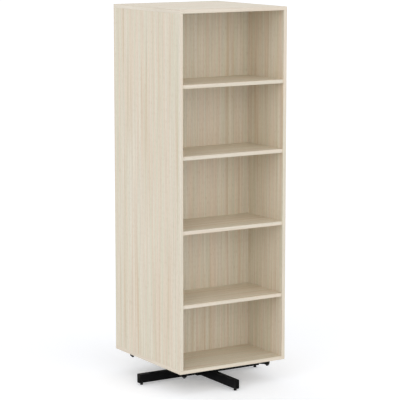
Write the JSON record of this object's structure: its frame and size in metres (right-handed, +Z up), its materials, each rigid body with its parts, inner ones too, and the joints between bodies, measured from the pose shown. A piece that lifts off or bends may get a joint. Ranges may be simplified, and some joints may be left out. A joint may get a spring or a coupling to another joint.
{
  "type": "rotary filing cabinet",
  "caption": "Tall two-sided open binder cabinet of pale wood boards that turns on a black steel cross base with levelling feet.",
  "frame": {"origin": "on the floor, on the cabinet's turning axis", "axes": "+Z up along the turning axis; -Y towards the open side seen in the picture, +Y towards the other open side, -X and +X towards the closed side boards"},
  "size_m": [0.7, 0.7, 1.8441],
  "materials": {
    "board_decor": "pale striped wood decor, satin",
    "edge_strip": "pale wood decor edge strip, satin",
    "tongue_wood": "plywood, raw",
    "black_steel": "black powder coat, fine texture",
    "black_screw": "black coated steel",
    "black_plastic": "black moulded plastic",
    "zinc_steel": "zinc plated steel",
    "bearing_steel": "ground bearing steel, greased",
    "cage_plastic": "natural nylon",
    "bush_bronze": "sintered bronze"
  },
  "bodies": {
    "base": {"foot_nuts": "zinc_steel", "lower_arm_front": "black_steel", "lower_arm_left": "black_steel", "lower_arm_rear": "black_steel", "lower_arm_right": "black_steel", "lower_bearing_plate": "black_steel", "lower_end_plugs": "black_plastic", "lower_hub": "black_steel", "pivot_bolt": "zinc_steel", "pivot_locknut": "zinc_steel"},
    "cabinet": {"bottom_panel": "board_decor", "bottom_panel_edging": "edge_strip", "carcass_screws": "black_screw", "centre_partition": "board_decor", "joint_tongues": "tongue_wood", "pivot_bush": "bush_bronze", "shelf_edging": "edge_strip", "shelf_front_1": "board_decor", "shelf_front_2": "board_decor", "shelf_front_3": "board_decor", "shelf_front_4": "board_decor", "shelf_rear_1": "board_decor", "shelf_rear_2": "board_decor", "shelf_rear_3": "board_decor", "shelf_rear_4": "board_decor", "side_panel_edging": "edge_strip", "side_panel_left": "board_decor", "side_panel_right": "board_decor", "top_panel": "board_decor", "top_panel_edging": "edge_strip", "upper_arm_front_left": "black_steel", "upper_arm_front_right": "black_steel", "upper_arm_rear_left": "black_steel", "upper_arm_rear_right": "black_steel", "upper_bearing_plate": "black_steel", "upper_end_plugs": "black_plastic", "upper_hub": "black_steel"},
    "roller_ring": {"bearing_rollers": "bearing_steel", "roller_cage": "cage_plastic"},
    "foot_front": {"foot_pad_front": "black_plastic"},
    "stem_front": {"foot_stem_front": "black_screw"},
    "foot_right": {"foot_pad_right": "black_plastic"},
    "stem_right": {"foot_stem_right": "black_screw"},
    "foot_rear": {"foot_pad_rear": "black_plastic"},
    "stem_rear": {"foot_stem_rear": "black_screw"},
    "foot_left": {"foot_pad_left": "black_plastic"},
    "stem_left": {"foot_stem_left": "black_screw"}
  },
  "joints": [
    {"name": "cabinet_spin", "type": "hinge", "parent": "base", "child": "cabinet", "pos_m": [0, 0, 0.0821], "axis": [0, 0, 1], "continuous": true},
    {"name": "roller_ring_spin", "type": "hinge", "parent": "base", "child": "roller_ring", "pos_m": [0, 0, 0.06855], "axis": [0, 0, 1], "continuous": true},
    {"name": "foot_front_slide", "type": "slide", "parent": "base", "child": "foot_front", "axis": [0, 0, -1], "range_m": [0, 0.012]},
    {"name": "foot_front_screw", "type": "hinge", "parent": "foot_front", "child": "stem_front", "pos_m": [0, -0.332, 0.006], "axis": [0, 0, -1], "range_deg": [0, 3460]},
    {"name": "foot_right_slide", "type": "slide", "parent": "base", "child": "foot_right", "axis": [0, 0, -1], "range_m": [0, 0.012]},
    {"name": "foot_right_screw", "type": "hinge", "parent": "foot_right", "child": "stem_right", "pos_m": [0.332, 0, 0.006], "axis": [0, 0, -1], "range_deg": [0, 3460]},
    {"name": "foot_rear_slide", "type": "slide", "parent": "base", "child": "foot_rear", "axis": [0, 0, -1], "range_m": [0, 0.012]},
    {"name": "foot_rear_screw", "type": "hinge", "parent": "foot_rear", "child": "stem_rear", "pos_m": [0, 0.332, 0.006], "axis": [0, 0, -1], "range_deg": [0, 3460]},
    {"name": "foot_left_slide", "type": "slide", "parent": "base", "child": "foot_left", "axis": [0, 0, -1], "range_m": [0, 0.012]},
    {"name": "foot_left_screw", "type": "hinge", "parent": "foot_left", "child": "stem_left", "pos_m": [-0.332, 0, 0.006], "axis": [0, 0, -1], "range_deg": [0, 3460]}
  ],
  "couplings": [
    {"joint": "roller_ring_spin", "follows": "cabinet_spin", "ratio": 0.5},
    {"joint": "foot_front_screw", "follows": "foot_front_slide", "rad_per_m": 5026.5},
    {"joint": "foot_right_screw", "follows": "foot_right_slide", "rad_per_m": 5026.5},
    {"joint": "foot_rear_screw", "follows": "foot_rear_slide", "rad_per_m": 5026.5},
    {"joint": "foot_left_screw", "follows": "foot_left_slide", "rad_per_m": 5026.5}
  ]
}
